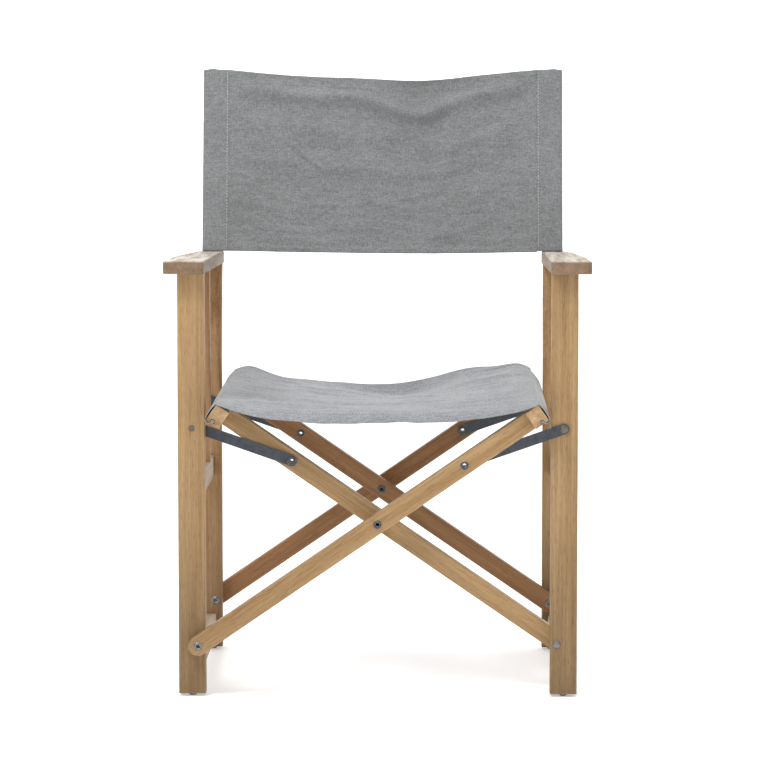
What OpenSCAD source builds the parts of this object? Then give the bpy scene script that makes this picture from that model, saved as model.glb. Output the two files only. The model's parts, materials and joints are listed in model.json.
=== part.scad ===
// Folding chair with a wooden frame: two side frames, two crossing bar frames that carry the
// seat rails, four steel stay links, and canvas for the seat and the back.
// +X is the sitter's left as seen from the front, +Y runs to the back, +Z is up.
// The origin is on the floor, in the middle of the chair's outline.

/* [Side frames] */
// Distance from the middle plane to the inner face of a front leg
front_leg_inner = 241; // [236:1:243]
// Width of a front leg, across the chair
front_leg_w = 37.5; // [34:0.5:42]
// Thickness of a front leg, front to back
front_leg_d = 25; // [22:1:26]
// Distance from the middle plane to the inner face of a rear leg
rear_leg_inner = 240; // [236:1:243]
// Width of a rear leg, across the chair
rear_leg_w = 28; // [26:1:32]
// Thickness of a rear leg, front to back
rear_leg_d = 24; // [20:1:26]
// Distance from the front of the front legs to the front of the rear legs
frame_depth = 382; // [360:1:400]
// Height at which a rear leg starts to lean back
bend_height = 438; // [420:1:450]
// Angle of the back posts from upright
back_lean = 12; // [6:1:14]
// Height of the top of the back posts
post_top = 862; // [820:1:880]

/* [Armrests] */
// Height of the underside of an armrest at its front end
arm_under = 594.8; // [580:1:610]
// Thickness of an armrest
arm_t = 18; // [14:1:22]
// Angle at which an armrest falls towards the back
arm_fall = 2; // [0:0.5:3]
// How far an armrest reaches in front of the front leg
arm_reach = 30; // [20:1:40]
// Width of an armrest at its front end
arm_w = 56.5; // [50:0.5:60]

/* [Crossing bars] */
// Distance from the middle plane to a lower pivot
pivot_x = 250; // [249:0.5:252]
// Height of a lower pivot
pivot_z = 74.5; // [73:0.5:80]
// Angle of an open bar from the floor
bar_angle = 34.5; // [34:0.1:35]
// Width of a bar
bar_w = 26.5; // [24:0.5:27]
// Thickness of a bar
bar_t = 20; // [16:1:22]
// Gap between a bar and the leg beside it
layer_gap = 3; // [3:0.5:4]

/* [Seat rails] */
// Distance along a bar from the centre pivot to the middle of a seat rail
rail_reach = 268; // [262:1:269]
// Thickness of a seat rail, along the bar
rail_w = 21.5; // [20:0.5:22]
// Depth of a seat rail, square to the bar
rail_h = 26; // [24:1:27]
// How far a seat rail reaches past the outermost bars
rail_over = 13; // [8:1:16]
// Radius of the canvas groove
groove_r = 3.6; // [3.2:0.1:4]

/* [Stay links] */
// Distance between the pivots of a link
link_len = 146.5; // [144:0.5:147]
// Width of a link
link_w = 15; // [12:1:16]
// Thickness of a link
link_t = 2.4; // [2:0.1:2.4]

/* [Canvas] */
// Thickness of the canvas
canvas_t = 1.2; // [1:0.1:1.5]
// Sag of the seat in the middle
seat_sag = 21; // [12:1:28]
// Height of the back canvas, along the posts
back_h = 271; // [240:1:272]
// How far the back canvas stands above the posts
back_above = 3; // [2:0.5:6]

/* [Hardware] */
// Outer radius of a rivet's rolled rim
rim_r = 6; // [5:0.5:7]
// Outer radius of a rivet's tube
shank_r = 3.4; // [3:0.1:3.6]
// Radius of the hole through a rivet
rivet_hole_r = 2.6; // [2:0.1:2.7]
// Height of a rivet's rim
rim_t = 1.3; // [1:0.1:1.6]
// Height of a foot glide
glide_h = 4; // [3:0.5:5]
// Radius of a dowel
dowel_r = 4; // [3:0.5:4]

/* [Hidden] */
$fn = 48;

LEFT = -1;
RIGHT = 1;
WOOD = "burlywood";
DARK_WOOD = "peru";
ARM_WOOD = "wheat";
STEEL = "silver";
DARK_STEEL = "dimgray";

fit = 0.05;          // radial clearance of every pin in its hole
face_gap = 0.15;     // clearance between flat faces that turn on each other
edge_r = 1.6;        // rounding along a board's edges
arm_edge = 2;        // bevel around an armrest

// Front to back places. All of them are measured from the front face of the front legs, and
// shift_y moves the chair so that its outline is centred on the origin.
rear_y = frame_depth;
rear_back_y = rear_y + rear_leg_d;
bar1_y = -layer_gap - bar_t;                 // front face of the outer front bar
bar2_y = front_leg_d + layer_gap;            // front face of the inner front bar
bar3_y = rear_y - layer_gap - bar_t;         // front face of the inner rear bar
bar4_y = rear_back_y + layer_gap;            // front face of the outer rear bar
rail_front = bar1_y - rail_over;
rail_back = bar4_y + bar_t + rail_over;
canvas_over = 2;                             // canvas past the rail ends
post_rise = post_top - bend_height;
post_top_back = rear_y + (post_rise + back_above) * tan(back_lean) + rear_leg_d / cos(back_lean);
shift_y = -(rail_front - canvas_over + post_top_back + 2) / 2;

// The linkage: each bar's lower pivot, the centre, and the two ends of a stay link. The link
// and the bar make a kite with the leg, so its leg pivot is the centre mirrored in the line
// from the lower pivot to the bar pivot.
arm_len = pivot_x / cos(bar_angle);
centre_z = pivot_z + pivot_x * tan(bar_angle);
q_x = link_len * cos(bar_angle);
q_z = centre_z + link_len * sin(bar_angle);
kite_angle = atan2(q_z - pivot_z, pivot_x - q_x);
r_angle = 2 * kite_angle - bar_angle;
r_x = pivot_x - arm_len * cos(r_angle);
r_z = pivot_z + arm_len * sin(r_angle);
link_angle = atan2(r_z - q_z, r_x - q_x);
rail_x = rail_reach * cos(bar_angle);
rail_z = centre_z + rail_reach * sin(bar_angle);

// The side frames' rails and strut
rail_board_t = 16.5;                         // thickness of the mid rail and strut
side_rail_inner = 251.5;
mid_rail_z = 264.5;
mid_rail_h = 30;
strut_y = 294;
strut_d = 22;
lower_rail_inner = 249;
lower_rail_t = 19;
lower_rail_z = 24;
lower_rail_h = 30;
dowel_len = 28;
dowel_x = 259.5;

function arm_under_at(y) = arm_under - (y + arm_reach) * tan(arm_fall);

// ---------- outlines ----------

// A rectangle about the origin with rounded corners, as a list of points
function rounded(w, h, r, steps = 3) = [
  for (c = [[1, 1, 0], [-1, 1, 90], [-1, -1, 180], [1, -1, 270]])
    for (i = [0:steps])
      [c[0] * (w / 2 - r) + r * cos(c[2] + 90 * i / steps),
       c[1] * (h / 2 - r) + r * sin(c[2] + 90 * i / steps)]
];

// A closed solid through rings of points, lowest ring first
module loft(rings) {
  n = len(rings[0]);
  last = len(rings) - 1;
  polyhedron(
    points = [for (ring = rings) for (p = ring) p],
    faces = concat(
      [[for (i = [0:n - 1]) i]],
      [for (k = [0:last - 1]) for (i = [0:n - 1])
        [k * n + i, (k + 1) * n + i, (k + 1) * n + (i + 1) % n, k * n + (i + 1) % n]],
      [[for (i = [n - 1:-1:0]) last * n + i]]
    )
  );
}

// A pin's hole or a plain pin along Y, from y0 to y1
module along_y(x, z, y0, y1, r) {
  translate([x, y0, z]) rotate([-90, 0, 0]) cylinder(r = r, h = y1 - y0);
}

module chair_space() {
  translate([0, shift_y, 0]) children();
}

// Left and right differ only by the sign of x
module on_side(side) {
  chair_space() scale([side, 1, 1]) children();
}

// ---------- side frames ----------

module pivot_hole(x, z) {
  along_y(x, z, -50, rail_back, shank_r + fit);
}

module dowel_pins(r, extra = 0) {
  for (z = [lower_rail_z + lower_rail_h / 2, mid_rail_z + mid_rail_h / 2])
    for (y = [front_leg_d, rear_y])
      along_y(dowel_x, z, y - dowel_len / 2 - extra, y + dowel_len / 2 + extra, r);
  for (p = [[strut_y + strut_d / 2, mid_rail_z + mid_rail_h],
            [strut_y + strut_d / 2, arm_under_at(strut_y + strut_d / 2)],
            [front_leg_d / 2, arm_under_at(front_leg_d / 2)]])
    translate([dowel_x, p[0], p[1] - 10 - extra]) cylinder(r = r, h = 20 + 2 * extra);
}

module arm_cut() {
  translate([200, -arm_reach - 20, arm_under]) rotate([-arm_fall, 0, 0])
    translate([0, 0, 20 * tan(arm_fall)]) cube([140, 560, 60]);
}

module front_leg(side) {
  color(WOOD) on_side(side) difference() {
    translate([front_leg_inner + front_leg_w / 2, front_leg_d / 2, glide_h])
      linear_extrude(arm_under + 2) polygon(rounded(front_leg_w, front_leg_d, edge_r));
    arm_cut();
    pivot_hole(pivot_x, pivot_z);
    pivot_hole(r_x, r_z);
    dowel_pins(dowel_r + fit, 1);
    glide_sockets(front_leg_inner + front_leg_w / 2, front_leg_d / 2);
  }
}

// One ring of a rear leg: mid is the section's centre, tilt lies half way between the stretches
function post_ring(mid_y, z, tilt, inset = 0) = [
  for (p = rounded(rear_leg_w - 2 * inset, (rear_leg_d - 2 * inset) / cos(tilt), edge_r))
    [rear_leg_inner + rear_leg_w / 2 + p[0], mid_y + p[1] * cos(tilt), z - p[1] * sin(tilt)]
];

module rear_leg(side) {
  mid_y = rear_y + rear_leg_d / 2;
  top_y = mid_y + post_rise * tan(back_lean);
  bevel = 1.5;
  color(DARK_WOOD) on_side(side) difference() {
    loft([
      post_ring(mid_y, glide_h, 0),
      post_ring(mid_y, bend_height, back_lean / 2),
      [for (p = post_flat_ring(0)) p + [0, top_y - bevel * sin(back_lean), post_top - bevel]],
      [for (p = post_flat_ring(bevel)) p + [0, top_y, post_top]]
    ]);
    pivot_hole(pivot_x, pivot_z);
    pivot_hole(r_x, r_z);
    dowel_pins(dowel_r + fit, 1);
    glide_sockets(rear_leg_inner + rear_leg_w / 2, mid_y);
  }
}

// A ring square to the leaning post, about the origin
function post_flat_ring(inset) = [
  for (p = rounded(rear_leg_w - 2 * inset, rear_leg_d - 2 * inset, edge_r))
    [rear_leg_inner + rear_leg_w / 2 + p[0], p[1] * cos(back_lean), -p[1] * sin(back_lean)]
];

// Outline of an armrest seen from above, from the front inner corner round to the outer side
arm_front_in = front_leg_inner - 1.5;
arm_front_out = arm_front_in + arm_w;
arm_rear_in = 238.5;      // the seat rails pass 1.4 inside this edge as the chair folds
arm_rear_out = 277;
arm_rear_y = 450;
arm_straight = 120;      // where the outer edge starts to curve in
arm_corner = 5;
function arm_outer(y) = arm_front_out
  - (arm_front_out - arm_rear_out) * pow(max(0, y - arm_straight) / (arm_rear_y - arm_straight), 1.6);
function arm_outline(inset) = concat(
  [for (a = [180:30:270]) [arm_front_in + arm_corner + (arm_corner - inset) * cos(a),
                           -arm_reach + arm_corner + (arm_corner - inset) * sin(a)]],
  [for (a = [270:30:360]) [arm_front_out - arm_corner + (arm_corner - inset) * cos(a),
                           -arm_reach + arm_corner + (arm_corner - inset) * sin(a)]],
  [for (y = [arm_straight:33:arm_rear_y - 8]) [arm_outer(y) - inset, y]],
  [for (a = [0:30:90]) [arm_rear_out - arm_corner + (arm_corner - inset) * cos(a),
                        arm_rear_y - arm_corner + (arm_corner - inset) * sin(a)]],
  [for (a = [90:30:180]) [arm_rear_in + arm_corner + (arm_corner - inset) * cos(a),
                          arm_rear_y - arm_corner + (arm_corner - inset) * sin(a)]]
);
function arm_ring(h, inset) = [
  for (p = arm_outline(inset)) [p[0], p[1], h + arm_under_at(p[1])]
];

module armrest(side) {
  mortise = 0.1;
  color(ARM_WOOD) on_side(side) difference() {
    loft([arm_ring(0, arm_edge / 2), arm_ring(arm_edge / 2, 0),
          arm_ring(arm_t - arm_edge, 0), arm_ring(arm_t - arm_edge * 0.3, arm_edge * 0.35),
          arm_ring(arm_t, arm_edge)]);
    translate([rear_leg_inner - mortise, rear_y + rear_leg_d / 2, bend_height])
      rotate([-back_lean, 0, 0])
        translate([0, -rear_leg_d / 2 - mortise, 120])
          cube([rear_leg_w + 2 * mortise, rear_leg_d + 2 * mortise, 100]);
    dowel_pins(dowel_r + fit, 1);
  }
}

module side_board(side, inner, t, z, h) {
  color(DARK_WOOD) on_side(side) difference() {
    translate([inner + t / 2, rear_y, z + h / 2]) rotate([90, 0, 0])
      linear_extrude(rear_y - front_leg_d) polygon(rounded(t, h, edge_r));
    dowel_pins(dowel_r + fit, 1);
  }
}

module lower_rail(side) {
  side_board(side, lower_rail_inner, lower_rail_t, lower_rail_z, lower_rail_h);
}

module mid_rail(side) {
  side_board(side, side_rail_inner, rail_board_t, mid_rail_z, mid_rail_h);
}

module arm_strut(side) {
  bottom = mid_rail_z + mid_rail_h;
  color(WOOD) on_side(side) difference() {
    translate([side_rail_inner + rail_board_t / 2, strut_y + strut_d / 2, bottom])
      linear_extrude(arm_under - bottom) polygon(rounded(rail_board_t, strut_d, edge_r));
    arm_cut();
    dowel_pins(dowel_r + fit, 1);
  }
}

module dowels(side) {
  color(ARM_WOOD) on_side(side) dowel_pins(dowel_r);
}

// A foot glide is a low dome with a flat face to stand on and a nail that holds it
glide_r = 6;
glide_nail = 12;
module glide_sockets(x, y) {
  translate([x, y, glide_h - 1]) cylinder(r = 1.5 + fit, h = glide_nail + 4);
}

module glides(side) {
  flat_r = 3.5;
  color(STEEL) on_side(side)
    for (p = [[front_leg_inner + front_leg_w / 2, front_leg_d / 2],
              [rear_leg_inner + rear_leg_w / 2, rear_y + rear_leg_d / 2]])
      translate([p[0], p[1], 0]) rotate_extrude()
        polygon([[0, 0], [flat_r, 0], [5, 0.8], [glide_r, 2.6], [glide_r, glide_h],
                 [1.5, glide_h], [1.5, glide_h + glide_nail], [0, glide_h + glide_nail + 1]]);
}

// ---------- rivets ----------

// A tubular rivet along Y with a rolled rim outside each end of its grip, y0 to y1
module tube_rivet(x, z, y0, y1) {
  translate([x, y0, z]) rotate([-90, 0, 0]) rotate_extrude()
    polygon([[rivet_hole_r, -rim_t * 0.6], [rivet_hole_r + 0.9, -rim_t], [rim_r - 1, -rim_t],
             [rim_r, -rim_t * 0.5], [rim_r, 0], [shank_r, 0], [shank_r, y1 - y0],
             [rim_r, y1 - y0], [rim_r, y1 - y0 + rim_t * 0.5], [rim_r - 1, y1 - y0 + rim_t],
             [rivet_hole_r + 0.9, y1 - y0 + rim_t], [rivet_hole_r, y1 - y0 + rim_t * 0.6]]);
}

// A solid rivet along Y with a dome in front, of height dome_t, and a tubular rim behind
module dome_rivet(x, z, y0, y1, dome_t) {
  translate([x, y0, z]) rotate([-90, 0, 0]) rotate_extrude()
    polygon([[0, -dome_t], [rim_r * 0.45, -dome_t * 0.9], [rim_r * 0.8, -dome_t * 0.55],
             [rim_r - 0.2, 0], [shank_r, 0], [shank_r, y1 - y0], [rim_r, y1 - y0],
             [rim_r, y1 - y0 + rim_t * 0.5], [rim_r - 1, y1 - y0 + rim_t],
             [0, y1 - y0 + rim_t]]);
}

module washer(x, z, y0, y1) {
  difference() {
    along_y(x, z, y0 + face_gap, y1 - face_gap, rim_r + 2);
    along_y(x, z, y0, y1, shank_r + fit);
  }
}

dome_t = 2.2;
clear = face_gap;        // the rims of a pin stay this far off a board that turns

// Lower pivots. On the left they hold the outer bars, on the right the inner bars.
module pivot_rivets(side) {
  color(STEEL) chair_space() {
    if (side == LEFT) {
      tube_rivet(-pivot_x, pivot_z, bar1_y - clear, front_leg_d + clear);
      tube_rivet(-pivot_x, pivot_z, rear_y - clear, bar4_y + bar_t + clear);
    } else {
      dome_rivet(pivot_x, pivot_z, -clear, bar2_y + bar_t + clear, dome_t);
      tube_rivet(pivot_x, pivot_z, bar3_y - clear, rear_back_y + clear);
    }
  }
}

module pivot_washers(side) {
  color(STEEL) chair_space() {
    if (side == LEFT) {
      washer(-pivot_x, pivot_z, bar1_y + bar_t, 0);
      washer(-pivot_x, pivot_z, rear_back_y, bar4_y);
    } else {
      washer(pivot_x, pivot_z, front_leg_d, bar2_y);
      washer(pivot_x, pivot_z, bar3_y + bar_t, rear_y);
    }
  }
}

// The pins that hold the stay links to the legs
small_rim = 0.9;
module flush_rivet(x, z, y0, y1) {
  translate([x, y0, z]) rotate([-90, 0, 0]) rotate_extrude()
    polygon([[0, -small_rim], [shank_r + 0.8, -small_rim * 0.8], [shank_r + 1.1, 0],
             [shank_r, 0], [shank_r, y1 - y0], [shank_r + 1.6, y1 - y0],
             [shank_r + 1.4, y1 - y0 + small_rim], [0, y1 - y0 + small_rim]]);
}

module leg_link_rivets(side) {
  color(DARK_STEEL) chair_space() {
    if (side == LEFT) {
      flush_rivet(-r_x, r_z, -clear, bar2_y);
      flush_rivet(-r_x, r_z, bar3_y + bar_t, rear_back_y + clear);
    } else {
      dome_rivet(r_x, r_z, -layer_gap, front_leg_d + clear, dome_t);
      flush_rivet(r_x, r_z, rear_y - clear, bar4_y);
    }
  }
}

// ---------- crossing bars ----------

// A bar along local +X from its lower pivot at the origin, with its front face at y = 0
bar_len = arm_len + rail_reach - rail_w / 2;
screw_r = 2;
screw_len = 46;
screw_head_r = 4;
module bar_solid() {
  end_r = bar_w / 2;
  intersection() {
    translate([-end_r, bar_t / 2, 0]) rotate([90, 0, 90])
      linear_extrude(bar_len + end_r) polygon(rounded(bar_t, bar_w, edge_r));
    translate([0, bar_t + 1, 0]) rotate([90, 0, 0]) linear_extrude(bar_t + 2) union() {
      circle(r = end_r);
      translate([0, -end_r - 1]) square([bar_len + 1, bar_w + 2]);
    }
  }
}

// Places children along a frame's line. The outer frame starts at the left pivot and rises
// to the right, and the inner frame is its mirror image.
module on_frame(outer) {
  chair_space() scale([outer ? 1 : -1, 1, 1])
    translate([-pivot_x, 0, pivot_z]) rotate([0, -bar_angle, 0]) children();
}

module rail_screw_holes(y, r) {
  translate([bar_len + rail_w, y + bar_t / 2, 0]) rotate([0, -90, 0]) {
    cylinder(r = r, h = screw_len);
    cylinder(r1 = r + screw_head_r - screw_r, r2 = r, h = 3);
  }
}

module bar(outer, y, tint) {
  color(tint) on_frame(outer) difference() {
    translate([0, y, 0]) bar_solid();
    for (x = [0, arm_len, arm_len + link_len])
      along_y(x, 0, y - 1, y + bar_t + 1, shank_r + fit);
    rail_screw_holes(y, screw_r + fit);
  }
}

// The centre of the groove lies near the rail's bottom face, so that it opens downwards
groove_u = 1.5;
groove_v = -rail_h / 2 + groove_r - 0.2;
rail_end_y = [bar1_y, bar4_y];
inner_end_y = [bar2_y, bar3_y];
module seat_rail(outer) {
  color(WOOD) on_frame(outer) difference() {
    translate([arm_len + rail_reach, rail_back, 0]) rotate([90, 0, 0])
      linear_extrude(rail_back - rail_front) difference() {
        polygon(rounded(rail_w, rail_h, 1));
        translate([groove_u, groove_v]) circle(r = groove_r);
        translate([groove_u - 2, -rail_h]) square([4, rail_h / 2 + 2]);
      }
    for (y = outer ? rail_end_y : inner_end_y) rail_screw_holes(y, screw_r + fit);
  }
}

rod_r = 2.3;
module canvas_rod(outer) {
  color(ARM_WOOD) on_frame(outer)
    along_y(arm_len + rail_reach + groove_u, groove_v, rail_front + 1, rail_back - 1, rod_r);
}

module rail_screws(outer) {
  color(STEEL) on_frame(outer)
    for (y = outer ? rail_end_y : inner_end_y)
      translate([bar_len + rail_w, y + bar_t / 2, 0]) rotate([0, -90, 0]) {
        translate([0, 0, 0.3]) cylinder(r1 = screw_head_r - 0.3, r2 = screw_r, h = 2.7);
        translate([0, 0, 0.3]) cylinder(r = screw_r, h = screw_len - 1.3);
      }
}

// The bar's half of a link pivot: a rivet that stays inside the bar and shows its rim on the
// face away from the link
module bar_rivet(y, link_in_front) {
  translate([arm_len + link_len, y, 0]) rotate([-90, 0, 0])
    translate([0, 0, link_in_front ? 0 : bar_t]) mirror([0, 0, link_in_front ? 0 : 1])
      rotate_extrude()
        polygon([[rivet_hole_r, 0.2], [shank_r, 0.2], [shank_r, bar_t], [rim_r, bar_t],
                 [rim_r, bar_t + rim_t * 0.5], [rim_r - 1, bar_t + rim_t],
                 [rivet_hole_r + 0.9, bar_t + rim_t], [rivet_hole_r, bar_t + rim_t * 0.6]]);
}

module bar_link_rivets(outer) {
  color(STEEL) on_frame(outer) {
    bar_rivet(outer ? bar1_y : bar2_y, !outer);
    bar_rivet(outer ? bar4_y : bar3_y, outer);
  }
}

module centre_rivets() {
  color(STEEL) chair_space() {
    tube_rivet(0, centre_z, bar1_y - clear, bar2_y + bar_t + clear);
    tube_rivet(0, centre_z, bar3_y - clear, bar4_y + bar_t + clear);
  }
}

module centre_spacers() {
  spacer_r = 8;
  color(WOOD) chair_space() for (y = [[bar1_y + bar_t, bar2_y], [bar3_y + bar_t, bar4_y]])
    difference() {
      along_y(0, centre_z, y[0] + face_gap, y[1] - face_gap, spacer_r);
      along_y(0, centre_z, y[0], y[1], shank_r + fit);
    }
}

// ---------- stay links ----------

// The front face of each link, front to back: it lies between a bar and a leg
link_in = (layer_gap - link_t) / 2;
function link_y(side, front) =
  side == LEFT ? (front ? front_leg_d : bar3_y + bar_t) + link_in
               : (front ? bar1_y + bar_t : rear_back_y) + link_in;

module on_link(side, front) {
  chair_space() scale([side, 1, 1]) translate([r_x, link_y(side, front), r_z])
    rotate([0, 180 - link_angle, 0]) children();
}

module link(side, front) {
  color(DARK_STEEL) on_link(side, front) difference() {
    translate([0, link_t, 0]) rotate([90, 0, 0]) linear_extrude(link_t) union() {
      circle(r = link_w / 2);
      translate([link_len, 0]) circle(r = link_w / 2);
      translate([0, -link_w / 2]) square([link_len, link_w]);
    }
    for (x = [0, link_len]) along_y(x, 0, -1, link_t + 1, shank_r + fit);
  }
}

// The link's half of its bar pivot: an eyelet whose rim faces away from the bar
module link_eyelet(bar_in_front) {
  translate([link_len, 0, 0]) rotate([-90, 0, 0])
    translate([0, 0, bar_in_front ? 0 : link_t]) mirror([0, 0, bar_in_front ? 0 : 1])
      rotate_extrude()
        polygon([[rivet_hole_r, 0.1], [shank_r, 0.1], [shank_r, link_t], [rim_r, link_t],
                 [rim_r, link_t + rim_t * 0.5], [rim_r - 1, link_t + rim_t],
                 [rivet_hole_r + 0.9, link_t + rim_t], [rivet_hole_r, link_t + rim_t * 0.6]]);
}

module link_eyelets(side) {
  color(STEEL) {
    on_link(side, true) link_eyelet(side == RIGHT);
    on_link(side, false) link_eyelet(side == LEFT);
  }
}

// ---------- canvas ----------

// The seat's top line across the chair: it leaves each rail's top corner and sags between them
canvas_gap = 0.35;
corner_x = rail_x + rail_w / 2 * cos(bar_angle) - rail_h / 2 * sin(bar_angle);
corner_z = rail_z + rail_w / 2 * sin(bar_angle) + rail_h / 2 * cos(bar_angle);
side_x = rail_x + rail_w / 2 * cos(bar_angle) + rail_h / 2 * sin(bar_angle);
side_z = rail_z + rail_w / 2 * sin(bar_angle) - rail_h / 2 * cos(bar_angle);
function seat_line(x) = corner_z + canvas_gap - seat_sag * (1 - pow(x / corner_x, 2));
seat_step = 24;

// The seat's outline from above the middle to the foot of the right rail, at a height above
// its underside
function seat_half(rise) = concat(
  [for (x = [seat_step / 2:seat_step:corner_x - 8]) [x, seat_line(x) + rise]],
  [[corner_x + (canvas_gap + rise) * cos(bar_angle), corner_z + canvas_gap + rise],
   [side_x + (canvas_gap + rise) * cos(bar_angle),
    side_z + (canvas_gap + rise) * sin(bar_angle)]]
);
function mirrored(points) = [for (p = points) [-p[0], p[1]]];
function backwards(points) = [for (i = [len(points) - 1:-1:0]) points[i]];

module seat_canvas() {
  under = seat_half(0);
  over = seat_half(canvas_t);
  color("lightslategray") chair_space() translate([0, rail_back + canvas_over, 0])
    rotate([90, 0, 0]) linear_extrude(rail_back - rail_front + 2 * canvas_over)
      polygon(concat(backwards(mirrored(under)), under, backwards(over), mirrored(over)));
}

// The back canvas: a front panel that closes into a sleeve round each post
sleeve_gap = 0.5;
sleeve_stitch = 36;
module back_canvas() {
  outer = rear_leg_inner + rear_leg_w + sleeve_gap + canvas_t;
  front = -rear_leg_d / 2 - sleeve_gap - canvas_t;
  deep = rear_leg_d + 2 * (sleeve_gap + canvas_t);
  color("slategray") chair_space()
    translate([0, rear_y + rear_leg_d / 2, bend_height]) rotate([-back_lean, 0, 0])
      translate([0, 0, post_rise / cos(back_lean) + back_above - back_h])
        linear_extrude(back_h) union() {
          translate([-outer, front]) square([2 * outer, canvas_t]);
          for (s = [-1, 1]) scale([s, 1]) difference() {
            translate([outer - sleeve_stitch, front]) square([sleeve_stitch, deep]);
            translate([outer - sleeve_stitch + canvas_t, front + canvas_t])
              square([sleeve_stitch - 2 * canvas_t, deep - 2 * canvas_t]);
          }
        }
}

// ---------- drawing ----------

front_leg(LEFT);  // left_front_leg
rear_leg(LEFT);  // left_rear_leg
armrest(LEFT);  // left_armrest
lower_rail(LEFT);  // left_lower_rail
mid_rail(LEFT);  // left_mid_rail
arm_strut(LEFT);  // left_arm_strut
dowels(LEFT);  // left_dowels
glides(LEFT);  // left_glides
pivot_rivets(LEFT);  // left_pivot_rivets
pivot_washers(LEFT);  // left_pivot_washers
leg_link_rivets(LEFT);  // left_link_rivets
front_leg(RIGHT);  // right_front_leg
rear_leg(RIGHT);  // right_rear_leg
armrest(RIGHT);  // right_armrest
lower_rail(RIGHT);  // right_lower_rail
mid_rail(RIGHT);  // right_mid_rail
arm_strut(RIGHT);  // right_arm_strut
dowels(RIGHT);  // right_dowels
glides(RIGHT);  // right_glides
pivot_rivets(RIGHT);  // right_pivot_rivets
pivot_washers(RIGHT);  // right_pivot_washers
leg_link_rivets(RIGHT);  // right_link_rivets
bar(true, bar1_y, WOOD);  // outer_front_bar
bar(true, bar4_y, DARK_WOOD);  // outer_rear_bar
seat_rail(true);  // right_seat_rail
canvas_rod(true);  // right_canvas_rod
rail_screws(true);  // outer_rail_screws
bar_link_rivets(true);  // outer_link_rivets
bar(false, bar2_y, WOOD);  // inner_front_bar
bar(false, bar3_y, DARK_WOOD);  // inner_rear_bar
seat_rail(false);  // left_seat_rail
canvas_rod(false);  // left_canvas_rod
rail_screws(false);  // inner_rail_screws
bar_link_rivets(false);  // inner_link_rivets
centre_rivets();
centre_spacers();
link(LEFT, true);  // left_front_link
link(LEFT, false);  // left_rear_link
link_eyelets(LEFT);  // left_link_eyelets
link(RIGHT, true);  // right_front_link
link(RIGHT, false);  // right_rear_link
link_eyelets(RIGHT);  // right_link_eyelets
seat_canvas();
back_canvas();
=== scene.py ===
"""Looks of the folding chair: camera, light, materials and the two canvases."""
import json
import math

import bpy
import numpy as np
from mathutils import Euler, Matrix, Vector, noise


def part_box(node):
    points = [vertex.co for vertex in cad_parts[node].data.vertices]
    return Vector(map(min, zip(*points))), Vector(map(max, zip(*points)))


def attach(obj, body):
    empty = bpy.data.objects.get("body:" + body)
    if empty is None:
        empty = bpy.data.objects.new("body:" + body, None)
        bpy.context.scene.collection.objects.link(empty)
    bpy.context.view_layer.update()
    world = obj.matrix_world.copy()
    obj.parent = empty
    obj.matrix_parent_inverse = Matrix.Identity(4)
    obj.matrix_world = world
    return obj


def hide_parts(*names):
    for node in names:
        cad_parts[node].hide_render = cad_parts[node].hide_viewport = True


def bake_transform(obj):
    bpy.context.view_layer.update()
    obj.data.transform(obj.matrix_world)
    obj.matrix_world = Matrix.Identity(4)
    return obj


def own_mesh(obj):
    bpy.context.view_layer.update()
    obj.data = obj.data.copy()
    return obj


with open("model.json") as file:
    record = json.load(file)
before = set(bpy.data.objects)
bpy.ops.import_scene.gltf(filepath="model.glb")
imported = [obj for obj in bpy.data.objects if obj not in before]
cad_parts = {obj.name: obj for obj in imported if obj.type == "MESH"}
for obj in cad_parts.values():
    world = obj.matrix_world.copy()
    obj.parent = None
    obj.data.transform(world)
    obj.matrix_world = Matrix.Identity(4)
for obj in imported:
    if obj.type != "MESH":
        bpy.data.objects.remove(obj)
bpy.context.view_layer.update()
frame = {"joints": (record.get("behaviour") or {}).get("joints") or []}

MM = 0.001
JOINT = {j["name"]: Vector(j["pos_m"]) for j in frame["joints"]}

# ---------------------------------------------------------------- sizes

# Angle of an open bar from the floor, from the two pivots on the outer bars
BAR_ANGLE = math.atan2(
    JOINT["centre_pivot"].z - JOINT["fold"].z, JOINT["centre_pivot"].x - JOINT["fold"].x
)
BACK_LEAN = math.radians(12)
RAIL_W = 21.5 * MM
RAIL_H = 26 * MM
GROOVE_U = 1.5 * MM
GROOVE_V = -RAIL_H / 2 + 3.4 * MM
ROD_R = 2.3 * MM
POST_D = 24 * MM
SLEEVE_DEPTH = 27.4 * MM          # outside of the CAD sleeve, square to the back
CANVAS_T = 1.0 * MM
SLEEVE_STITCH = 38.5 * MM


def box_centre(node):
    lo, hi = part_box(node)
    return (Vector(lo) + Vector(hi)) / 2


# ---------------------------------------------------------------- camera and light


def add_camera():
    """A long lens just above the chair's height, a little to +X and turned back to the chair."""
    data = bpy.data.cameras.new("camera")
    data.sensor_width = 36
    data.lens = 172.6
    data.clip_end = 50
    camera = bpy.data.objects.new("camera", data)
    bpy.context.scene.collection.objects.link(camera)
    camera.location = (0.0858, -5.317, 0.956)
    pan, tilt = math.radians(0.867), math.radians(5.79)
    camera.rotation_euler = Euler((math.pi / 2 - tilt, 0, pan))
    bpy.context.scene.camera = camera


def add_area(name, location, target, size, power, tint=(1, 1, 1)):
    data = bpy.data.lights.new(name, "AREA")
    data.shape = "RECTANGLE"
    data.size, data.size_y = size
    data.energy = power
    data.color = tint
    light = bpy.data.objects.new(name, data)
    light.location = location
    light.rotation_euler = (Vector(target) - Vector(location)).to_track_quat("-Z", "Y").to_euler()
    bpy.context.scene.collection.objects.link(light)


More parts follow.
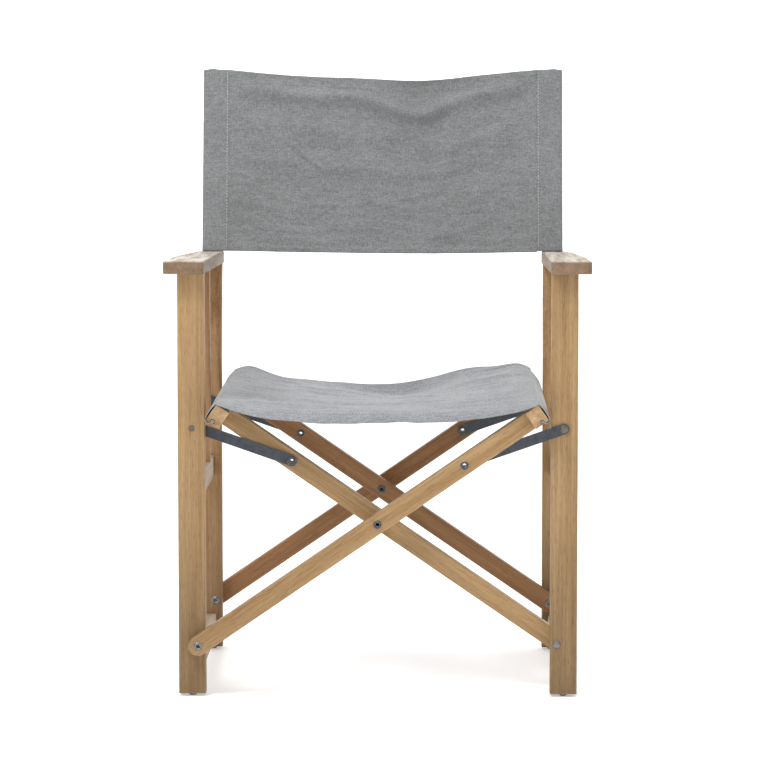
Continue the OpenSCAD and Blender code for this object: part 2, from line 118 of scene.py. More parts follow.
def add_stage(name, corners, glow):
    """A pale sheet behind or under the chair, which glows a little so that it stays white."""
    mesh = bpy.data.meshes.new(name)
    mesh.from_pydata(corners, [], [(0, 1, 2, 3)])
    obj = bpy.data.objects.new(name, mesh)
    bpy.context.scene.collection.objects.link(obj)
    material = bpy.data.materials.new(name)
    material.use_nodes = True
    shader = material.node_tree.nodes["Principled BSDF"]
    shader.inputs["Base Color"].default_value = (0.92, 0.92, 0.92, 1)
    shader.inputs["Roughness"].default_value = 0.9
    shader.inputs["Emission Color"].default_value = (1, 1, 1, 1)
    shader.inputs["Emission Strength"].default_value = glow
    mesh.materials.append(material)


def add_studio():
    middle = (0, 0, 0.45)
    add_area("key_light", (-1.3, -2.2, 3.2), middle, (1.5, 1.1), 78)
    add_area("top_light", (0.2, 0.3, 3.4), middle, (2.2, 1.6), 46)
    add_area("fill_light", (1.9, -2.6, 1.5), middle, (1.6, 1.6), 6)
    world = bpy.data.worlds.new("studio")
    world.use_nodes = True
    background = world.node_tree.nodes["Background"]
    background.inputs["Color"].default_value = (1, 1, 1, 1)
    background.inputs["Strength"].default_value = 0.62
    bpy.context.scene.world = world

    half, far = 14.0, 7.0
    add_stage("studio_floor", [(-half, -half, 0), (half, -half, 0), (half, far, 0), (-half, far, 0)], 0.3)
    add_stage("studio_backdrop", [(-half, far, 0), (half, far, 0), (half, far, 9), (-half, far, 9)], 0.98)
    bpy.context.scene.view_settings.view_transform = "Standard"


# ---------------------------------------------------------------- material helpers


class Nodes:
    """Short calls for building one material's node tree."""

    def __init__(self, name):
        self.material = bpy.data.materials.new(name)
        self.material.use_nodes = True
        self.tree = self.material.node_tree
        self.shader = self.tree.nodes["Principled BSDF"]

    def add(self, kind, inputs=None, **settings):
        node = self.tree.nodes.new("ShaderNode" + kind)
        for key, value in settings.items():
            setattr(node, key, value)
        for key, value in (inputs or {}).items():
            if isinstance(value, bpy.types.NodeSocket):
                self.tree.links.new(value, node.inputs[key])
            else:
                node.inputs[key].default_value = value
        return node

    def link(self, out, name):
        self.tree.links.new(out, self.shader.inputs[name])

    def coordinates(self):
        return self.add("TexCoord").outputs["Object"]

    def noise(self, vector, scale, detail=3.0, rough=0.5):
        node = self.add(
            "TexNoise", {"Vector": vector, "Scale": scale, "Detail": detail, "Roughness": rough}
        )
        return node.outputs["Fac"]

    def stretch(self, vector, scale):
        return self.add("Mapping", {"Vector": vector, "Scale": scale}).outputs[0]

    def remap(self, value, low, high, to_low, to_high):
        node = self.add("MapRange", {
            "Value": value, "From Min": low, "From Max": high, "To Min": to_low, "To Max": to_high,
        })
        return node.outputs[0]

    def math(self, operation, a, b=0.0):
        return self.add("Math", {0: a, 1: b}, operation=operation).outputs[0]

    def mix(self, share, a, b, blend="MIX"):
        node = self.add("Mix", data_type="RGBA", blend_type=blend)
        for socket, value in ((node.inputs[0], share), (node.inputs[6], a), (node.inputs[7], b)):
            if isinstance(value, bpy.types.NodeSocket):
                self.tree.links.new(value, socket)
            else:
                socket.default_value = value
        return node.outputs[2]

    def bump(self, height, strength, distance):
        inputs = {"Height": height, "Strength": strength, "Distance": distance}
        return self.add("Bump", inputs).outputs[0]

    def edge_wear_and_rim_mask(self, radius, sharp=0.12):
        """1 along a solid's edges and 0 on its faces."""
        bevel = self.add("Bevel", {"Radius": radius}, samples=4)
        geometry = self.add("NewGeometry")
        dot = self.add("VectorMath", {0: bevel.outputs[0], 1: geometry.outputs["True Normal"]},
                       operation="DOT_PRODUCT")
        return self.remap(dot.outputs["Value"], 1.0, 1.0 - sharp, 0.0, 1.0)


def rgb(r, g, b):
    return (r, g, b, 1.0)


def wood(name, along, pale, dark, seed, turn=0.0, wear_and_rim_light=0.35, pores=0.5, bleach=0.0, foot=0.0):
    """Oiled hardwood. Its grain runs along one axis once the board is turned about Y or X."""
    n = Nodes(name)
    place = (seed * 0.173, seed * 0.291, seed * 0.117)
    turned = {"x": (0, turn, 0), "y": (turn, 0, 0), "z": (turn, 0, 0)}[along]
    board = n.add("Mapping", {"Vector": n.coordinates(), "Rotation": turned,
                              "Location": place}).outputs[0]
    axis = "xyz".index(along)

    def grain(across, length):
        scale = [across] * 3
        scale[axis] = length
        return n.stretch(board, scale)

    drift = n.noise(grain(14, 3), 1.0, 2)
    bands = n.noise(grain(75, 2.6), 1.0, 4, 0.6)
    lines = n.noise(grain(420, 9), 1.0, 4, 0.62)
    dashes = n.noise(grain(1300, 70), 1.0, 2, 0.5)
    band_share = n.remap(bands, 0.32, 0.68, 0.0, 1.0)
    colour = n.mix(band_share, rgb(*dark), rgb(*pale))
    line_tone = n.remap(lines, 0.3, 0.7, 0.80, 1.10)
    drift_tone = n.remap(drift, 0.3, 0.7, 0.88, 1.10)
    tone = n.math("MULTIPLY", line_tone, drift_tone)
    pore = n.remap(dashes, 0.36, 0.46, 1.0 - pores * 0.55, 1.0)
    tone = n.math("MULTIPLY", tone, pore)
    if foot:
        height = n.add("SeparateXYZ", {0: n.coordinates()}).outputs[2]
        tone = n.math("MULTIPLY", tone, n.remap(height, 0.0, 0.26, 1 - foot, 1.0))
    grey = n.add("CombineColor", {0: tone, 1: tone, 2: tone}).outputs[0]
    colour = n.mix(1.0, colour, grey, "MULTIPLY")
    edges = n.edge_wear_and_rim_mask(2.2 * MM)
    patch = n.remap(n.noise(board, 60, 3), 0.4, 0.62, 0.15, 1.0)
    worn = n.math("MULTIPLY", n.math("MULTIPLY", edges, patch), wear_and_rim_light)
    colour = n.mix(worn, colour, rgb(*[min(0.8, c * 1.5 + 0.06) for c in pale]))
    if bleach:
        faded = n.remap(n.noise(grain(110, 5), 1.0, 4, 0.6), 0.38, 0.62, 0.2, 1.0)
        facing_up = n.add("SeparateXYZ", {0: n.add("NewGeometry").outputs["Normal"]}).outputs[2]
        sunny = n.math("MULTIPLY", faded, n.remap(facing_up, 0.2, 0.8, 0.08, 1.0))
        colour = n.mix(n.math("MULTIPLY", sunny, bleach), colour, rgb(0.56, 0.54, 0.47))
    n.link(colour, "Base Color")
    n.link(n.remap(lines, 0.3, 0.7, 0.62, 0.46), "Roughness")
    n.shader.inputs["Specular IOR Level"].default_value = 0.35
    relief = n.math("ADD", lines, n.math("MULTIPLY", pore, 0.8))
    n.link(n.bump(relief, 0.22, 0.5 * MM), "Normal")
    return n.material


def steel(name, tone, rough, metal=1.0, wear_and_rim_tone=0.5, wear_and_rim_light=0.5):
    n = Nodes(name)
    coords = n.coordinates()
    smudge = n.noise(coords, 130, 4, 0.6)
    scratch = n.noise(n.stretch(coords, (2200, 300, 300)), 1.0, 2)
    base = n.mix(n.remap(smudge, 0.35, 0.65, 0, 1), rgb(*[c * 0.72 for c in tone]),
                 rgb(*[c * 1.15 for c in tone]))
    # Edges mix toward a paler tone: real wear on the links and plain rivets, a painted rim highlight on
    # the tubular rivets.
    edges = n.math("MULTIPLY", n.edge_wear_and_rim_mask(0.9 * MM), wear_and_rim_light)
    n.link(n.mix(edges, base, rgb(wear_and_rim_tone, wear_and_rim_tone, wear_and_rim_tone * 0.98)), "Base Color")
    n.shader.inputs["Metallic"].default_value = metal
    n.link(n.remap(smudge, 0.3, 0.7, rough - 0.1, rough + 0.12), "Roughness")
    n.link(n.bump(scratch, 0.12, 0.1 * MM), "Normal")
    return n.material


def canvas(name, across, up, pale, dark):
    """Washed cotton canvas. across and up are the two axes that its threads follow."""
    n = Nodes(name)
    coords = n.coordinates()

    def along(axis, long_scale, cross_scale):
        scale = [cross_scale] * 3
        scale[axis] = long_scale
        return n.stretch(coords, scale)

    weft = n.noise(along(across, 90, 900), 1.0, 3, 0.55)
    warp = n.noise(along(up, 90, 900), 1.0, 3, 0.55)
    cloud = n.noise(coords, 22, 4, 0.55)
    fleck = n.noise(coords, 420, 3, 0.6)
    threads = []
    for axis in (across, up):
        scale = [0.0, 0.0, 0.0]
        scale[axis] = 1.0
        line = n.stretch(coords, scale)
        total = n.add("VectorMath", {0: line, 1: (1, 1, 1)}, operation="DOT_PRODUCT")
        phase = n.math("MULTIPLY", total.outputs["Value"], 2 * math.pi / (1.3 * MM))
        threads.append(n.math("SINE", phase))
    weave = n.math("MULTIPLY", threads[0], threads[1])
    slub = n.math("ADD", n.remap(weft, 0.3, 0.7, -0.5, 0.5), n.remap(warp, 0.3, 0.7, -0.5, 0.5))
    mottled = n.math("ADD", n.math("MULTIPLY", slub, 0.5), n.remap(cloud, 0.3, 0.7, -0.09, 0.09))
    mottled = n.math("ADD", mottled, n.remap(fleck, 0.3, 0.7, -0.27, 0.27))
    share = n.math("ADD", n.math("MULTIPLY", mottled, 1.5), 0.5)
    share = n.math("ADD", share, n.math("MULTIPLY", weave, 0.12))
    colour = n.mix(share, rgb(*dark), rgb(*pale))
    n.link(colour, "Base Color")
    n.shader.inputs["Roughness"].default_value = 0.88
    n.shader.inputs["Specular IOR Level"].default_value = 0.2
    n.shader.inputs["Sheen Weight"].default_value = 0.25
    n.shader.inputs["Sheen Roughness"].default_value = 0.5
    relief = n.math("ADD", n.math("MULTIPLY", weave, 0.5), n.math("MULTIPLY", slub, 0.6))
    n.link(n.bump(relief, 0.35, 0.35 * MM), "Normal")
    return n.material


def thread(name, tone):
    n = Nodes(name)
    twist = n.noise(n.stretch(n.coordinates(), (900, 900, 900)), 1.0, 2)
    n.link(n.mix(twist, rgb(*[c * 0.8 for c in tone]), rgb(*[c * 1.15 for c in tone])), "Base Color")
    n.shader.inputs["Roughness"].default_value = 0.75
    return n.material


# ---------------------------------------------------------------- CAD materials

FRONT_PALE, FRONT_DARK = (0.42, 0.27, 0.128), (0.30, 0.175, 0.072)
BACK_PALE, BACK_DARK = (0.33, 0.168, 0.068), (0.22, 0.10, 0.036)
REAR_PALE, REAR_DARK = (0.39, 0.215, 0.10), (0.27, 0.135, 0.055)


def dress(node, material):
    mesh = bpy.data.objects[node].data
    mesh.materials.clear()
    mesh.materials.append(material)


def dress_cad():
    for i, side in enumerate(("left", "right")):
        seed = 3 + 7 * i
        dress(f"{side}_front_leg", wood(f"wood_{side}_front_leg", "z", FRONT_PALE, FRONT_DARK, seed,
                                       foot=0.42))
        dress(f"{side}_rear_leg", wood(f"wood_{side}_rear_leg", "z", FRONT_PALE, REAR_DARK, seed + 1,
                                      foot=0.45))
        dress(f"{side}_armrest", wood(f"wood_{side}_armrest", "y", (0.25, 0.155, 0.085),
                                      (0.15, 0.09, 0.045), seed + 2, wear_and_rim_light=0.2, bleach=0.8))
        side_wood = wood(f"wood_{side}_rails", "y", (0.43, 0.31, 0.19), (0.30, 0.19, 0.10), seed + 3,
                         bleach=0.3)
        dress(f"{side}_lower_rail", side_wood)
        dress(f"{side}_mid_rail", side_wood)
        dress(f"{side}_arm_strut", wood(f"wood_{side}_strut", "z", REAR_PALE, REAR_DARK, seed + 4))
        dress(f"{side}_seat_rail", wood(f"wood_{side}_seat_rail", "y", (0.50, 0.34, 0.20),
                                        FRONT_DARK, seed + 5))
    for name, pale, dark, sign, seed in (
        ("outer_front_bar", FRONT_PALE, FRONT_DARK, 1, 31),
        ("inner_front_bar", FRONT_PALE, FRONT_DARK, -1, 32),
        ("outer_rear_bar", BACK_PALE, BACK_DARK, 1, 33),
        ("inner_rear_bar", BACK_PALE, BACK_DARK, -1, 34),
    ):
        dress(name, wood(f"wood_{name}", "x", pale, dark, seed, turn=sign * BAR_ANGLE))
    plain = wood("wood_small_parts", "y", (0.50, 0.36, 0.21), (0.38, 0.25, 0.13), 41)
    for name in ("left_dowels", "right_dowels", "left_canvas_rod", "right_canvas_rod",
                 "centre_spacers"):
        dress(name, plain)
    rivet = steel("steel_rivets", (0.2, 0.2, 0.2), 0.42, wear_and_rim_tone=0.42)
    for name in ("left_glides", "right_glides", "left_pivot_rivets", "right_pivot_rivets",
                 "left_pivot_washers", "right_pivot_washers", "outer_rail_screws",
                 "inner_rail_screws"):
        dress(name, rivet)
    # Tubular rivets: the near-black body is painted shade of the hollow centre, and the bright edge
    # colour is a painted rim highlight.
    tubular = steel("steel_tubular_rivets_painted_rim", (0.045, 0.045, 0.05), 0.5, metal=0.6, wear_and_rim_tone=0.48,
                    wear_and_rim_light=0.95)
    for name in ("outer_link_rivets", "inner_link_rivets", "centre_rivets", "left_link_eyelets",
                 "right_link_eyelets"):
        dress(name, tubular)
    dark = steel("steel_links", (0.075, 0.083, 0.095), 0.46, metal=0.75, wear_and_rim_tone=0.22, wear_and_rim_light=0.6)
    for name in ("left_front_link", "left_rear_link", "right_front_link", "right_rear_link"):
        dress(name, dark)
    aged = steel("steel_link_rivets", (0.16, 0.14, 0.11), 0.5, metal=0.8, wear_and_rim_tone=0.3)
    for name in ("left_link_rivets", "right_link_rivets"):
        dress(name, aged)


# ---------------------------------------------------------------- mesh helpers


def grid_mesh(name, points, closed=False):
    """A sheet from rows of points. closed joins the last column to the first."""
    rows, cols = len(points), len(points[0])
    verts = [tuple(p) for row in points for p in row]
    faces = []
    for r in range(rows - 1):
        for c in range(cols if closed else cols - 1):
            d = (c + 1) % cols
            faces.append((r * cols + c, r * cols + d, (r + 1) * cols + d, (r + 1) * cols + c))
    mesh = bpy.data.meshes.new(name)
    mesh.from_pydata(verts, [], faces)
    mesh.update()
    mesh.polygons.foreach_set("use_smooth", [True] * len(faces))
    obj = bpy.data.objects.new(name, mesh)
    bpy.context.scene.collection.objects.link(obj)
    return obj


def bake_modifiers(obj):
    """Replaces the object's mesh by the result of its modifiers."""
    graph = bpy.context.evaluated_depsgraph_get()
    mesh = bpy.data.meshes.new_from_object(obj.evaluated_get(graph))
    obj.modifiers.clear()
    obj.data = mesh
    return obj


def thicken(obj, thickness, offset):
    solid = obj.modifiers.new("thickness", "SOLIDIFY")
    solid.thickness = thickness
    solid.offset = offset
    solid.use_even_offset = False
    return bake_modifiers(obj)


def stitch_row(name, path, material, length=3.2 * MM, pitch=4.6 * MM, radius=0.42 * MM):
    """Stitches along a path of (point, normal) pairs: short threads that arch off the cloth."""
    verts, faces = [], []
    walked, due = 0.0, pitch / 2
    for (p, normal), (q, _) in zip(path[:-1], path[1:]):
        step = (q - p).length
        while walked + step >= due and step > 0:
            centre = p.lerp(q, (due - walked) / step)
            along = (q - p).normalized()
            side = along.cross(normal).normalized()
            add_stitch(verts, faces, centre, along, side, normal, length, radius)
            due += pitch
        walked += step
    mesh = bpy.data.meshes.new(name)
    mesh.from_pydata(verts, [], faces)
    mesh.polygons.foreach_set("use_smooth", [True] * len(faces))
    mesh.materials.append(material)
    obj = bpy.data.objects.new(name, mesh)
    bpy.context.scene.collection.objects.link(obj)
    return obj


def add_stitch(verts, faces, centre, along, side, normal, length, radius):
    rings, sides = 5, 6
    start = len(verts)
    for i in range(rings):
        t = i / (rings - 1) * 2 - 1
        lift = radius * (1.0 - 1.5 * t * t)
        width = radius * math.sqrt(max(0.12, 1 - t * t))
        for k in range(sides):
            a = 2 * math.pi * k / sides
            p = centre + along * (t * length / 2) + normal * (lift + width * math.sin(a))
            verts.append(tuple(p + side * (width * math.cos(a))))
    for i in range(rings - 1):
        for k in range(sides):
            m = (k + 1) % sides
            faces.append((start + i * sides + k, start + i * sides + m,
                          start + (i + 1) * sides + m, start + (i + 1) * sides + k))
    faces.append(tuple(start + k for k in reversed(range(sides))))
    faces.append(tuple(start + (rings - 1) * sides + k for k in range(sides)))


def bell(x, middle, width):
    return math.exp(-(((x - middle) / width) ** 2))


def smooth(x, a, b):
    t = min(1.0, max(0.0, (x - a) / (b - a)))
    return t * t * (3 - 2 * t)


def wavy(x, y, seed, octaves=2):
    """Smooth noise from -1 to 1."""
    return noise.fractal(Vector((x, y, seed)), 0.7, 2.0, octaves)


# ---------------------------------------------------------------- back canvas


class BackPlane:
    """The leaning plane of the posts' front faces. x runs across, t runs down from the canvas's
    top edge, and n stands forward of the plane."""

    def __init__(self):
        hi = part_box("left_rear_leg")[1]
        sleeve_lo, sleeve_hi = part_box("back_canvas")
        self.down = Vector((0, -math.sin(BACK_LEAN), -math.cos(BACK_LEAN)))
        self.forward = Vector((0, -math.cos(BACK_LEAN), math.sin(BACK_LEAN)))
        half_post = POST_D / 2
        top_centre = Vector((0, hi[1] - half_post * math.cos(BACK_LEAN),
                             hi[2] - half_post * math.sin(BACK_LEAN)))
        above = 3 * MM
        self.origin = top_centre - self.down * above + self.forward * (POST_D / 2 + 1.0 * MM)
        self.half = sleeve_hi[0]
        self.stitch_x = sleeve_hi[0] - SLEEVE_STITCH
        rise = sleeve_hi[2] - sleeve_lo[2] - SLEEVE_DEPTH * math.sin(BACK_LEAN)
        self.height = rise / math.cos(BACK_LEAN)

    def at(self, x, t, n=0.0):
        return self.origin + Vector((x, 0, 0)) + self.down * t + self.forward * n


def top_drop(plane, x):
    """How far the top edge hangs between the posts, deepest a little right of the middle."""
    share = min(1.0, abs(x) / plane.stitch_x)
    return (12 * (1 - share**2.2) + 7 * bell(x, 55 * MM, 60 * MM)) * MM


def back_relief(plane, x, t):
    """Forward offset of the back panel, at x across and t below its own top edge."""
    inside = 1 - min(1.0, abs(x) / plane.stitch_x) ** 2
    hold = smooth(plane.stitch_x - abs(x), 0, 30 * MM)
    sag = bell(x, 52 * MM, 46 * MM)
    n = -7.0 * inside * (0.55 + 0.45 * t / plane.height)
    crest = (31 + 20 * sag - 8 * smooth(abs(x), 110 * MM, 200 * MM)) * MM
    n += (5.2 + 4.6 * sag) * bell(t, crest, (10 + 2 * sag) * MM) * hold
    n -= 2.4 * bell(t, crest + 21 * MM, 11 * MM) * hold * (0.5 + 0.5 * sag)
    n += (1.6 + 14.0 * sag) * math.exp(-t / (12 * MM)) * hold
    n += 1.3 * bell(t, 92 * MM - 0.12 * abs(x), 15 * MM) * bell(x, -120 * MM, 90 * MM)
    n += 1.2 * bell(t, 146 * MM + 0.1 * x, 12 * MM) * bell(x, 60 * MM, 80 * MM)
    n += 1.1 * bell(t, 105 * MM - 0.08 * x, 10 * MM) * bell(x, 120 * MM, 70 * MM)
    n += crease(x, t, (-148, 104), (-92, 146), 4.0 * MM) * -3.0
    n += crease(x, t, (-150, 96), (-98, 134), 9.0 * MM) * 1.0
    n += 2.6 * wavy(x * 7, t * 26, 4.2, 3) * hold
    n += 0.7 * wavy(x * 40, t * 70, 9.1, 2)
    n += 0.45 * pucker(plane.stitch_x - abs(x), t)
    return n * MM


def pucker(off_seam, along):
    """Small gathers that run square to a seam and fade away from it."""
    return math.exp(-abs(off_seam) / (16 * MM)) * wavy(off_seam * 30, along * 130, 2.7, 2)


def crease(x, t, start, end, width):
    """A straight fold between two points in millimetres, tapered at its ends."""
    ax, at = start[0] * MM, start[1] * MM
    dx, dt = end[0] * MM - ax, end[1] * MM - at
    long = math.hypot(dx, dt)
    s = ((x - ax) * dx + (t - at) * dt) / long**2
    off = ((x - ax) * dt - (t - at) * dx) / long
    return bell(off, 0, width) * smooth(s, -0.12, 0.25) * (1 - smooth(s, 0.75, 1.12))


HEM_TOP = 15 * MM
FRONT_DEEPER = 4.4 * MM          # the canvas is cut level, so its front is longer than its back
HEM_BOTTOM = 9 * MM
HEM_LIFT = 0.7 * MM


def back_panel_point(plane, x, t_share):
    drop = top_drop(plane, x)
    belly = 1.6 * (1 - (x / plane.stitch_x) ** 2) + 1.4 * smooth(x, -0.15, 0.1)
    end = plane.height + FRONT_DEEPER + belly * MM
    t = drop + (end - drop) * t_share
    below = t - drop
    hem = max(1 - smooth(below, HEM_TOP - 1 * MM, HEM_TOP + 1 * MM),
              smooth(end - t, HEM_BOTTOM + 1 * MM, HEM_BOTTOM - 1 * MM))
    return plane.at(x, t, back_relief(plane, x, below) + HEM_LIFT * hem)


def make_back(cloth, seam_thread):
    plane = BackPlane()
    cols, rows = 300, 180
    xs = np.linspace(-plane.stitch_x, plane.stitch_x, cols)
    shares = np.linspace(0, 1, rows)
    points = [[back_panel_point(plane, x, s) for x in xs] for s in shares]
    panel = grid_mesh("back_panel", points)
    panel.data.materials.append(cloth)
    thicken(panel, CANVAS_T, -1)

    sleeves = [make_sleeve(plane, side, cloth) for side in (-1, 1)]
    panel_rows = [
        stitch_row(f"back_{name}_stitches", panel_path(plane, xs, where), seam_thread)
        for name, where in (("top_hem", HEM_TOP - 2 * MM), ("bottom_hem", -HEM_BOTTOM + 2 * MM))
    ]
    sleeve_rows = []
    for side, label in ((-1, "left"), (1, "right")):
        path = [(plane.at(side * (plane.stitch_x + 2.2 * MM), t, 1.0 * MM), plane.forward)
                for t in np.linspace(3 * MM, plane.height - 3 * MM, 40)]
        sleeve_rows.append(stitch_row(f"{label}_sleeve_stitches", path, seam_thread))
    return plane, panel, sleeves, panel_rows, sleeve_rows


def panel_path(plane, xs, where):
    """Points along a hem: where is below the top edge, or above the bottom edge if negative."""
    path = []
    for x in xs[2:-2:2]:
        drop = top_drop(plane, x)
        full = plane.height - drop
        share = where / full if where > 0 else 1 + where / full
        path.append((back_panel_point(plane, x, share) + plane.forward * 0.3 * MM, plane.forward))
    return path


def make_sleeve(plane, side, cloth):
    """A tunnel of canvas round a post, sewn shut beside the back panel."""
    post_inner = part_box("right_rear_leg")[0][0]
    gap = 1.3 * MM
    outer = plane.half - 0.2 * MM
    inner = post_inner - gap
    back = -(POST_D + 2 * gap)
    seam = plane.stitch_x
    corner = 4 * MM
    outline = [(seam - 1.5 * MM, 0.5 * MM), (seam + 5 * MM, 0.8 * MM), (seam + 9 * MM, 0.4 * MM),
               (outer - corner, 0.0)]
    for a in (60, 30):
        outline.append((outer - corner + corner * math.cos(math.radians(a)),
                        -corner + corner * math.sin(math.radians(a))))
    outline += [(outer, -corner), (outer + 0.3 * MM, back / 2), (outer, back + corner)]
    for a in (-30, -60):
        outline.append((outer - corner + corner * math.cos(math.radians(a)),
                        back + corner + corner * math.sin(math.radians(a))))
    outline += [(outer - corner, back), ((outer + inner) / 2, back - 0.5 * MM),
                (inner + corner, back), (inner, back + corner), (inner - 1 * MM, back * 0.45),
                (seam + 5 * MM, -2.5 * MM), (seam - 1.5 * MM, -1.9 * MM)]
    outline = refine(outline, 2.4 * MM)
    rows = []
    for t in np.linspace(0, plane.height, 150):
        ring = []
        for x, n in outline:
            away = smooth(x - seam, 2 * MM, 10 * MM)
            bump = 0.35 * wavy(x * 60 + side * 3, t * 60, n * 90 + side, 3)
            bump += 0.5 * pucker(x - seam, t) * away
            hem = smooth(t, plane.height - HEM_BOTTOM, plane.height - HEM_BOTTOM - 1.5 * MM)
            lift = HEM_LIFT * 0.6 * (1 - hem)
            edge = 1.6 * MM * bell(t, 0, 12 * MM) * bell(x, outer - 14 * MM, 9 * MM)
            push = away * (bump * MM + lift) * (1 if n > back / 2 else -1)
            deeper = FRONT_DEEPER * t / plane.height * (1 - min(1.0, max(0.0, n / back)))
            ring.append(plane.at(side * (x + away * 0.2 * MM * bump), t - edge + deeper, n + push))
        rows.append(ring if side > 0 else ring[::-1])
    label = "left" if side < 0 else "right"
    sleeve = grid_mesh(f"{label}_back_sleeve", rows, closed=True)
    sleeve.data.materials.append(cloth)
    return thicken(sleeve, 0.9 * MM, 0)


def refine(points, step):
    """Adds points along a closed outline so that none is further than step from the next."""
    out = []
    for (ax, ay), (bx, by) in zip(points, points[1:] + points[:1]):
        count = max(1, math.ceil(math.hypot(bx - ax, by - ay) / step))
        for i in range(count):
            out.append((ax + (bx - ax) * i / count, ay + (by - ay) * i / count))
    return out


# ---------------------------------------------------------------- seat canvas


SEAT_SAG = 24 * MM


class Seat:
    """The seat's section across the chair and its length from front to back."""

    def __init__(self):
        lo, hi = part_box("right_seat_rail")
        self.rail = box_centre("right_seat_rail")
        self.front = lo[1] - 2 * MM
        self.back = hi[1] + 2 * MM
        self.out = Vector((math.cos(BAR_ANGLE), 0, math.sin(BAR_ANGLE)))
        self.up = Vector((-math.sin(BAR_ANGLE), 0, math.cos(BAR_ANGLE)))
        gap = 0.9 * MM
        self.corner = self.on_rail(RAIL_W / 2 + gap * 0.4, RAIL_H / 2 + gap * 0.6)
        self.tail = self.tail_points(gap)

    def flat_width(self):
        """The cut's width: the span between the rails with its sag, and a flap over each rail."""
        flap = sum((b - a).length for a, b in zip(self.tail[:-1], self.tail[1:]))
        span = 2 * self.corner.x
        return span + 8 / 3 * SEAT_SAG**2 / span + 2 * flap

    def on_rail(self, u, v):
        return self.rail + self.out * u + self.up * v

    def tail_points(self, gap):
        """From the rail's top corner down its outer face and round the rod in its groove."""
        outer = RAIL_W / 2 + gap
        local = [(RAIL_W / 2 + gap * 0.9, RAIL_H / 2), (outer + 0.8 * MM, RAIL_H * 0.25),
                 (outer + 1.2 * MM, 0), (outer + 0.9 * MM, -RAIL_H * 0.3),
                 (outer, -RAIL_H / 2 + 0.5 * MM), (outer - 1.6 * MM, -RAIL_H / 2 - gap * 1.3),
                 (RAIL_W * 0.3, -RAIL_H / 2 - gap * 1.5), (GROOVE_U + 2.4 * MM, -RAIL_H / 2 - 0.4 * MM)]
        loop = ROD_R + 0.55 * MM
        for degrees in range(-20, 230, 25):
            a = math.radians(degrees)
            local.append((GROOVE_U + loop * math.cos(a), GROOVE_V + loop * math.sin(a)))
        fine = []
        for (au, av), (bu, bv) in zip(local[:-1], local[1:]):
            count = max(1, math.ceil(math.hypot(bu - au, bv - av) / (1.6 * MM)))
            fine += [(au + (bu - au) * i / count, av + (bv - av) * i / count)
                     for i in range(count)]
        return [self.on_rail(u, v) for u, v in fine + [local[-1]]]


def seat_height(seat, x, y):
    """Height of the seat's cloth between the rails."""
    half = seat.corner.x
    share = min(1.0, abs(x) / half)
    length = (y - seat.front) / (seat.back - seat.front)
    sag = 10 + 14 * smooth(length, 0.0, 0.45) - 3 * smooth(length, 0.7, 1.0)
    power = 2.6 - 0.6 * length
    z = -sag * (1 - share**power)
    # Towards the back the cloth stands up beside both rails, and once more right of the middle
    rear = smooth(length, 0.55, 1.0)
    z += rear * 10 * bell(x, 140 * MM, 60 * MM)
    z += rear * 14 * bell(x, 212 * MM, 34 * MM) * (1 - share**12)
    z += rear * 14 * bell(x, -208 * MM, 34 * MM) * (1 - share**12)
    z -= rear * 16 * bell(x, 20 * MM, 85 * MM)
    pull = 1 - share**6
    front = 1 - smooth(length, 0.0, 0.35)
    z += pull * 4.2 * wavy(x * 4 + 3, y * 34, 1.3, 3) * (0.35 + 0.65 * share)
    z += pull * 2.2 * wavy(x * 7, y * 75 + x * 12, 5.9, 2) * (0.3 + 0.7 * share**1.5)
    z += pull * 0.5 * wavy(x * 30, y * 90, 7.7, 2)
    for fx, fy, tx, ty, deep, width in SEAT_FOLDS:
        z += 2.4 * deep * crease(x, y - seat.front, (fx, fy), (tx, ty), width * MM)
    z += front * 1.0 * wavy(x * 22, y * 20, 3.1, 2) * (1 - share**3)
    return z * MM


# Folds that run in from the rails: start and end across and from the front edge, height, width
SEAT_FOLDS = (
    (-215, 60, -40, 34, 2.2, 9), (-205, 120, -70, 66, 1.8, 10), (-210, 190, -60, 150, 1.4, 12),
    (-200, 300, -20, 330, 1.6, 14), (-190, 385, 20, 410, 1.4, 12), (212, 52, 60, 30, 1.8, 9),
    (205, 130, 40, 96, 2.0, 11), (210, 220, 30, 196, 1.6, 12), (205, 320, 10, 300, 1.8, 13),
    (200, 400, 40, 380, 1.8, 12), (-120, 210, 90, 230, -1.4, 16), (-60, 96, 110, 120, -1.2, 14),
)

FRONT_TURN = 24 * MM
REAR_TURN = 26 * MM
SEAT_HEM = 16 * MM


def seat_point(seat, x, along):
    """A point of the cloth: x across, and along from its front edge over the cloth."""
    length = seat.back - seat.front
    half = seat.corner.x
    middle = 1 - min(1.0, abs(x) / half) ** 3
    wobble = 1 + 0.14 * wavy(x * 9, 0.4, 8.8, 2)
    y = seat.front + along
    dz = 0.0
    turn = math.radians(8 + 96 * middle * wobble)
    slack = FRONT_TURN * 0.42
    if along < FRONT_TURN:
        a = turn * (1 - along / FRONT_TURN)
        radius = FRONT_TURN / turn
        y = seat.front + FRONT_TURN - radius * math.sin(a)
        dz = -radius * (1 - math.cos(a))
        y -= slack * middle * (1 - smooth(along, 0, FRONT_TURN) * 0.5)
    elif along < 3 * FRONT_TURN:
        y -= slack * 0.5 * middle * (1 - smooth(along, FRONT_TURN, 3 * FRONT_TURN))
    rear = length - along
    if rear < REAR_TURN:
        rise = 1 - rear / REAR_TURN
        dz += 17 * MM * rise**1.6 * bell(x, 45 * MM, 115 * MM)
    hem = max(1 - smooth(along, SEAT_HEM - 1 * MM, SEAT_HEM + 1 * MM),
              1 - smooth(rear, SEAT_HEM - 1 * MM, SEAT_HEM + 1 * MM))
    z = seat.corner.z + seat_height(seat, x, y) + dz + 0.6 * MM * hem
    return Vector((x, y, z))


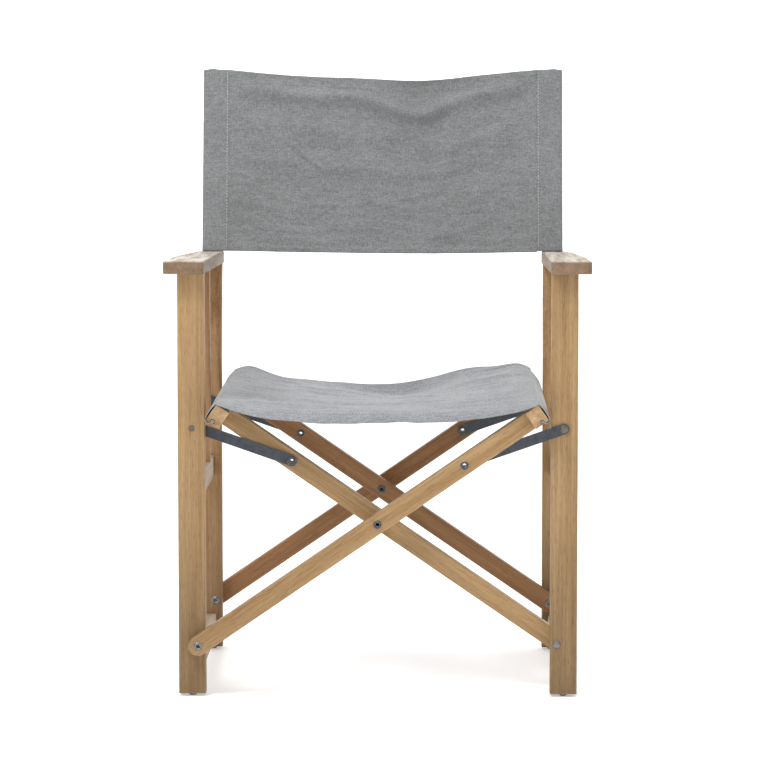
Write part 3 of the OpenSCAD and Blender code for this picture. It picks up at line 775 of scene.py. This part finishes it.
def make_seat(cloth, seam_thread):
    seat = Seat()
    half = seat.corner.x
    xs = half * np.sin(np.linspace(-math.pi / 2, math.pi / 2, 230) * 0.999)
    rows = []
    length = seat.back - seat.front
    alongs = np.concatenate([
        np.linspace(0, FRONT_TURN, 22)[:-1],
        np.linspace(FRONT_TURN, length - REAR_TURN, 170),
        np.linspace(length - REAR_TURN, length, 14)[1:],
    ])
    tail = seat.tail
    for along in alongs:
        y = seat.front + along
        drift = 0.5 * MM * wavy(3.3, y * 45, 6.6, 2)
        right = [Vector((p.x + seat.out.x * tail_bulge(i, len(tail), y, 1), y, p.z + drift * 0.2))
                 for i, p in enumerate(tail)]
        left = [Vector((-p.x - seat.out.x * tail_bulge(i, len(tail), y, -1), y, p.z + drift * 0.2))
                for i, p in enumerate(tail)]
        middle = [seat_point(seat, x, along) for x in xs[1:-1]]
        rows.append(left[::-1] + middle + right)
    sheet = grid_mesh("seat_cloth", rows)
    sheet.data.materials.append(cloth)
    soften(sheet)
    thicken(sheet, CANVAS_T, 1)
    seams = []
    for label, along in (("front", SEAT_HEM - 2.5 * MM), ("rear", length - SEAT_HEM + 2.5 * MM)):
        path = []
        for x in xs[6:-6:3]:
            p = seat_point(seat, x, along)
            ahead = seat_point(seat, x, along + 2 * MM)
            beside = seat_point(seat, x + 2 * MM, along)
            normal = (beside - p).cross(ahead - p).normalized()
            path.append((p + normal * (CANVAS_T + 0.1 * MM), normal))
        seams.append(stitch_row(f"seat_{label}_stitches", path, seam_thread))
    return seat, sheet, seams


def tail_bulge(index, count, y, side):
    """The flap's slight waves off the rail's outer face, none at the groove."""
    share = index / count
    if share > 0.45:
        return 0.0
    return 0.6 * MM * math.sin(math.pi * share / 0.45) * (1 + wavy(side * 4.0, y * 40, 1.1, 2))


def soften(obj):
    """Rounds off the bends where the flat of the seat meets its flaps."""
    mod = obj.modifiers.new("soften", "SMOOTH")
    mod.factor = 0.5
    mod.iterations = 2
    bake_modifiers(obj)


# ---------------------------------------------------------------- the chair


def build():
    dress_cad()
    # The seat and the back are one canvas: the seat's paler tone is painted top light and the back's
    # darker tone is painted shade.
    back_cloth = canvas("canvas_back_shaded_copy", 0, 2, (0.238, 0.243, 0.246), (0.132, 0.136, 0.138))
    seat_cloth = canvas("canvas_seat_lit_copy", 0, 1, (0.328, 0.337, 0.352), (0.182, 0.189, 0.2))
    back_thread = thread("thread_back", (0.50, 0.50, 0.49))
    seat_thread = thread("thread_seat", (0.48, 0.49, 0.50))

    plane, panel, sleeves, panel_rows, sleeve_rows = make_back(back_cloth, back_thread)
    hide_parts("back_canvas")
    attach(panel, "left_side")
    for sleeve, row, body in zip(sleeves, sleeve_rows, ("left_side", "right_side")):
        for piece in (sleeve, row):
            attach(piece, body)
    for row in panel_rows:
        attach(row, "left_side")
    for piece in (panel, *panel_rows):
        tuple(plane.at(-plane.stitch_x, 0))
        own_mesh(piece)

    seat, sheet, seams = make_seat(seat_cloth, seat_thread)
    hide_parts("seat_canvas")
    for piece in (sheet, *seams):
        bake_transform(piece)
    seat.flat_width()


add_camera()
add_studio()
build()
